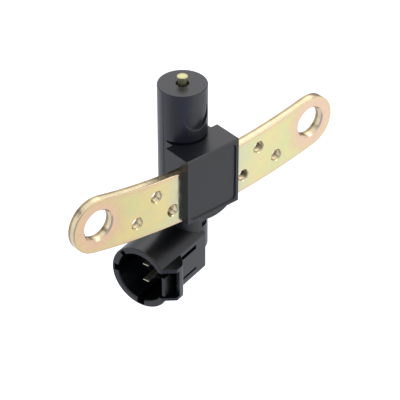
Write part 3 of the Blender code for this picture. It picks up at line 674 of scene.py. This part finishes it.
def punched(name, x, z, radius, lead, segments):
    """A punched hole's cutter, with the drawn-in lead on the front side."""
    rings = []
    profile = [(STRIP_FRONT_Y - 1.0, radius + lead + 0.4)]
    for i in range(6):
        angle = math.pi / 2 * i / 5
        profile.append((STRIP_FRONT_Y + lead * math.sin(angle) - 0.01,
                        radius + lead * (1 - math.cos(math.pi / 2 - angle))))
    profile.append((STRIP_BACK_Y + 1.0, radius))
    for y, r in profile:
        rings.append([(px, y, pz) for px, pz in arc((x, z), r, 0, 360, segments)[:-1]])
    return loft(name, rings)


steps = []
for side in (-1, 1):
    x = side * EYE_X
    steps.append(("DIFFERENCE", punched(f"eye_{side}", x, strip_height(x) + EYE_LIFT,
                                        EYE_RADIUS, EYE_LEAD, 90)))
    for number, (away, rise) in enumerate(SMALL_HOLES):
        x = side * away
        steps.append(("DIFFERENCE", punched(f"hole_{side}_{number}", x, strip_height(x) + rise,
                                            SMALL_HOLE_RADIUS, SMALL_HOLE_LEAD, 48)))
carve(bracket, steps)

# Yellow passivated zinc gives a soft mirror whose thin film turns from straw to green and pink.
# The punched walls are streaked along the punch's travel and darker towards the back, partly the
# torn zone of the punching and partly painted shade in the walls. The streaks are about 0.1 mm wide
# on the real part, too fine to show, and are drawn at 0.5 mm.
plating = bpy.data.materials.new("yellow_passivated_zinc_on_steel")
plating.use_nodes = True
tree = plating.node_tree
shader = tree.nodes["Principled BSDF"]
shader.inputs["Metallic"].default_value = 1.0
place = add(tree, "ShaderNodeNewGeometry")
spot = place.outputs["Position"]


def mixed(factor, first, second):
    """A blend of two colours, each a hex value or a node's output."""
    made = add(tree, "ShaderNodeMix", links={"Factor": factor}, data_type="RGBA")
    for socket, colour in (("A", first), ("B", second)):
        if isinstance(colour, str):
            made.inputs[socket].default_value = linear(colour)
        else:
            tree.links.new(colour, made.inputs[socket])
    return made.outputs["Result"]


def ramp(value, low, high, start=0.0, end=1.0):
    """A smooth step of a value from one level to another."""
    return add(tree, "ShaderNodeMapRange", {"From Min": low, "From Max": high, "To Min": start,
                                            "To Max": end}, {"Value": value},
               interpolation_type="SMOOTHSTEP").outputs[0]


patches = add(tree, "ShaderNodeTexNoise", {"Scale": 1 / (14 * MM), "Detail": 2.0},
              {"Vector": spot}).outputs["Fac"]
fine = add(tree, "ShaderNodeTexNoise", {"Scale": 1 / (2.2 * MM), "Detail": 4.0},
           {"Vector": spot}).outputs["Fac"]
colour = mixed(ramp(patches, 0.38, 0.62), "ebdfa2", "dee0a6")
colour = mixed(ramp(fine, 0.4, 0.75, 0.0, 0.5), colour, "eddcba")
split = add(tree, "ShaderNodeSeparateXYZ", links={0: spot})
away = add(tree, "ShaderNodeMath", links={0: split.outputs["X"]}, operation="ABSOLUTE").outputs[0]
# Painted shade: the plating turns greyer and darker close to the box, where the box shades it.
painted_shade_near_box = ramp(away, 20.0 * MM, 9.0 * MM, 0.0, 0.6)
colour = mixed(painted_shade_near_box, colour, "c4cfc6")
bend = add(tree, "ShaderNodeVectorMath",
           {1: (0.0, 0.0, (STRIP_MIDDLE_Z + STRIP_BEND_RADIUS) * MM)}, {0: spot},
           operation="SUBTRACT").outputs[0]
bend = add(tree, "ShaderNodeVectorMath", {1: (1.0, 0.0, 1.0)}, {0: bend},
           operation="MULTIPLY").outputs[0]
radius = add(tree, "ShaderNodeVectorMath", links={0: bend}, operation="LENGTH").outputs["Value"]
off = add(tree, "ShaderNodeMath", {1: STRIP_BEND_RADIUS * MM}, {0: radius},
          operation="SUBTRACT").outputs[0]
off = add(tree, "ShaderNodeMath", links={0: off}, operation="ABSOLUTE").outputs[0]
edge = ramp(off, 7.2 * MM, 9.4 * MM, 0.0, 0.7)
colour = mixed(edge, colour, "e8cbae")
eye_point = add(tree, "ShaderNodeCombineXYZ", links={"X": away, "Z": split.outputs["Z"]})
eye_centre = (EYE_X * MM, 0.0, (strip_height(EYE_X) + EYE_LIFT) * MM)
eye_off = add(tree, "ShaderNodeVectorMath", {1: eye_centre}, {0: eye_point.outputs[0]},
              operation="DISTANCE").outputs["Value"]
wobble = add(tree, "ShaderNodeMath", {1: 5 * MM}, {0: patches}, operation="MULTIPLY").outputs[0]
eye_off = add(tree, "ShaderNodeMath", links={0: eye_off, 1: wobble}, operation="ADD").outputs[0]
ring = ramp(eye_off, 15.0 * MM, 10.0 * MM, 0.0, 0.85)
colour = mixed(ring, colour, "ead0a8")
ring = ramp(eye_off, 12.0 * MM, 8.2 * MM, 0.0, 0.8)
colour = mixed(ring, colour, "eecdb6")
# The plating's colour is multiplied a little darker and warmer towards the left arm.
left = ramp(split.outputs["X"], 10 * MM, -35 * MM, 0.0, 1.0)
darker_to_left = add(tree, "ShaderNodeMix", links={"Factor": left, "A": colour}, data_type="RGBA",
             blend_type="MULTIPLY")
darker_to_left.inputs["B"].default_value = linear("f3ede6")
colour = darker_to_left.outputs["Result"]
upright = add(tree, "ShaderNodeSeparateXYZ", links={0: place.outputs["Normal"]}).outputs["Y"]
upright = add(tree, "ShaderNodeMath", links={0: upright}, operation="ABSOLUTE").outputs[0]
drawn = add(tree, "ShaderNodeVectorMath", {1: (1 / (0.5 * MM), 1 / (6 * MM), 1 / (0.5 * MM))},
            {0: spot}, operation="MULTIPLY").outputs[0]
drawn = add(tree, "ShaderNodeTexNoise", {"Scale": 1.0, "Detail": 2.0},
            {"Vector": drawn}).outputs["Fac"]
sheared = mixed(ramp(drawn, 0.35, 0.7, 0.0, 0.35), "f2e2bc", "d8ba94")
# Darker towards the back of the walls: partly the real torn zone, partly painted shade.
torn_and_shaded = ramp(split.outputs["Y"], (STRIP_BACK_Y - 1.5) * MM, (STRIP_BACK_Y - 0.8) * MM, 0.0, 0.7)
sheared = mixed(torn_and_shaded, sheared, "86704c")
wall = ramp(upright, 0.85, 0.45)
colour = mixed(wall, colour, sheared)
tree.links.new(colour, shader.inputs["Base Color"])
rough = add(tree, "ShaderNodeMath", {1: 0.12}, {0: wall, 2: ramp(fine, 0.35, 0.7, 0.14, 0.26)},
            operation="MULTIPLY_ADD")
tree.links.new(rough.outputs[0], shader.inputs["Roughness"])
wave = add(tree, "ShaderNodeTexNoise", {"Scale": 1 / (5 * MM), "Detail": 3.0}, {"Vector": spot})
bump = add(tree, "ShaderNodeBump", {"Strength": 0.25, "Distance": 0.2 * MM},
           {"Height": wave.outputs["Fac"]})
tree.links.new(bump.outputs[0], shader.inputs["Normal"])
bracket.data.materials.clear()
bracket.data.materials.append(plating)
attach(bracket, "root")
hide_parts("mounting_bracket")


# Pole pin. Soft iron, turned and thinly zinc plated, with its end upset by a press so that it
# stands a little wider than the shank.
pin_profile = [(3.2, -17.7), (3.2, -16.7), (PIN_RADIUS, -16.6), (PIN_RADIUS, -0.62),
               (1.6, -0.52), (1.71, -0.38), (1.74, -0.26), (1.66, -0.12), (1.46, -0.04), (1.1, 0.0)]
pin = turned("pole_pin_turned", pin_profile, 72)
pin.data.shade_smooth()
pin.data.set_sharp_from_angle(angle=SMOOTH_ANGLE)
# Zinc plated iron gives a pale greenish straw, too rough to mirror anything sharply. Its turning
# marks of about 0.1 mm are too fine to show, so they are drawn as 0.6 mm patches.
iron = bpy.data.materials.new("zinc_plated_soft_iron")
iron.use_nodes = True
tree = iron.node_tree
shader = tree.nodes["Principled BSDF"]
shader.inputs["Metallic"].default_value = 1.0
shader.inputs["Roughness"].default_value = 0.36
place = add(tree, "ShaderNodeNewGeometry")
marks = add(tree, "ShaderNodeTexNoise", {"Scale": 1 / (0.6 * MM), "Detail": 3.0},
            {"Vector": place.outputs["Position"]})
tint = add(tree, "ShaderNodeMix", links={"Factor": marks.outputs["Fac"]}, data_type="RGBA")
tint.inputs["A"].default_value = linear("c8c48c")
tint.inputs["B"].default_value = linear("dad6a8")
tree.links.new(tint.outputs["Result"], shader.inputs["Base Color"])
pin.data.materials.append(iron)
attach(pin, "root")
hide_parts("pole_pin")


# Terminals. Two strips of tinned brass, stamped and bent once, with pointed blades that stand
# in the socket.
# Tinned brass gives a warm pale grey with soft glints that stand out in the dark socket.
tin = bpy.data.materials.new("tinned_brass_strip")
tin.use_nodes = True
tree = tin.node_tree
shader = tree.nodes["Principled BSDF"]
shader.inputs["Metallic"].default_value = 1.0
shader.inputs["Roughness"].default_value = 0.4
place = add(tree, "ShaderNodeNewGeometry")
marks = add(tree, "ShaderNodeTexNoise", {"Scale": 1 / (0.8 * MM), "Detail": 3.0},
            {"Vector": place.outputs["Position"]})
tint = add(tree, "ShaderNodeMix", links={"Factor": marks.outputs["Fac"]}, data_type="RGBA")
tint.inputs["A"].default_value = linear("d8cfb0")
tint.inputs["B"].default_value = linear("ece6d0")
tree.links.new(tint.outputs["Result"], shader.inputs["Base Color"])

BLADE_TIP = 21.2
BLADE_HALF_THICK = 0.4
BLADE_HALF_WIDTH = 1.15
BLADE_TAPER = 0.7
STRIP_TOP = 42.0
for name, strip_at, blade_z in (("upper", 4.4, 3.2), ("lower", 1.2, -3.2)):
    inner, outer = strip_at - BLADE_HALF_THICK, strip_at + BLADE_HALF_THICK
    under, over = blade_z - BLADE_HALF_THICK, blade_z + BLADE_HALF_THICK
    outline = [(inner, STRIP_TOP), (inner, under), (BLADE_TIP - BLADE_TAPER, under),
               (BLADE_TIP, blade_z - 0.15), (BLADE_TIP, blade_z + 0.15),
               (BLADE_TIP - BLADE_TAPER, over), (outer, over), (outer, STRIP_TOP)]
    rings = [[(x, y, z) for x, z in outline] for y in (-BLADE_HALF_WIDTH, BLADE_HALF_WIDTH)]
    strip = rounded(loft(f"terminal_strip_{name}", rings, SOCKET_TURN, SOCKET_Z), 0.15, 3, 50)
    carve(strip, [])
    strip.data.materials.append(tin)
    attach(strip, "root")
    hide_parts(f"terminal_{name}")


# Coil set. It fills the tip and none of it shows: a bobbin and an insert of unfilled nylon, a
# winding and two leads of enamelled copper wire, a wrap of polyester film, and a sintered magnet.
def finish_of(name, low, high, grain_mm, rough, metallic=0.0, across=(1.0, 1.0, 1.0)):
    """A finish that varies between two colours, with a fine relief of the same grain."""
    made = bpy.data.materials.new(name)
    made.use_nodes = True
    tree = made.node_tree
    shader = tree.nodes["Principled BSDF"]
    shader.inputs["Metallic"].default_value = metallic
    shader.inputs["Roughness"].default_value = rough
    place = add(tree, "ShaderNodeNewGeometry")
    grain = tuple(share / (grain_mm * MM) for share in across)
    place = add(tree, "ShaderNodeVectorMath", {1: grain}, {0: place.outputs["Position"]},
                operation="MULTIPLY")
    speck = add(tree, "ShaderNodeTexNoise", {"Scale": 1.0, "Detail": 3.0},
                {"Vector": place.outputs[0]})
    tint = add(tree, "ShaderNodeMix", links={"Factor": speck.outputs["Fac"]}, data_type="RGBA")
    tint.inputs["A"].default_value = linear(low)
    tint.inputs["B"].default_value = linear(high)
    tree.links.new(tint.outputs["Result"], shader.inputs["Base Color"])
    bump = add(tree, "ShaderNodeBump", {"Strength": 0.2, "Distance": 0.03 * MM},
               {"Height": speck.outputs["Fac"]})
    tree.links.new(bump.outputs[0], shader.inputs["Normal"])
    return made


# Nylon is milky and satin. The wire's lacquer reddens the copper, and the winding shows its turns
# as rings, drawn at 0.4 mm because the real wire of 0.08 mm is too fine to show. Polyester film is
# amber and shiny, and the magnet is dull grey with grinding marks round it.
nylon = finish_of("unfilled_nylon", "d9cfb8", "e8dfca", 3.0, 0.45)
wire = finish_of("lacquered_copper_wire", "8f3f1c", "b86436", 0.4, 0.3, 1.0, (0.05, 0.05, 1.0))
film = finish_of("polyester_film", "b88f24", "d6ae3c", 2.5, 0.2)
alloy = finish_of("ground_magnet_alloy", "6a6763", "85827d", 0.5, 0.45, 1.0, (0.1, 0.1, 1.0))
for finish, names in ((nylon, ("coil_bobbin", "terminal_carrier")),
                      (wire, ("coil_winding", "lead_start", "lead_finish")),
                      (film, ("winding_tape",)), (alloy, ("magnet",))):
    for name in names:
        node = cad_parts[name]
        if not node.material_slots:
            node.data.materials.append(finish)
        for slot in node.material_slots:
            slot.material = finish
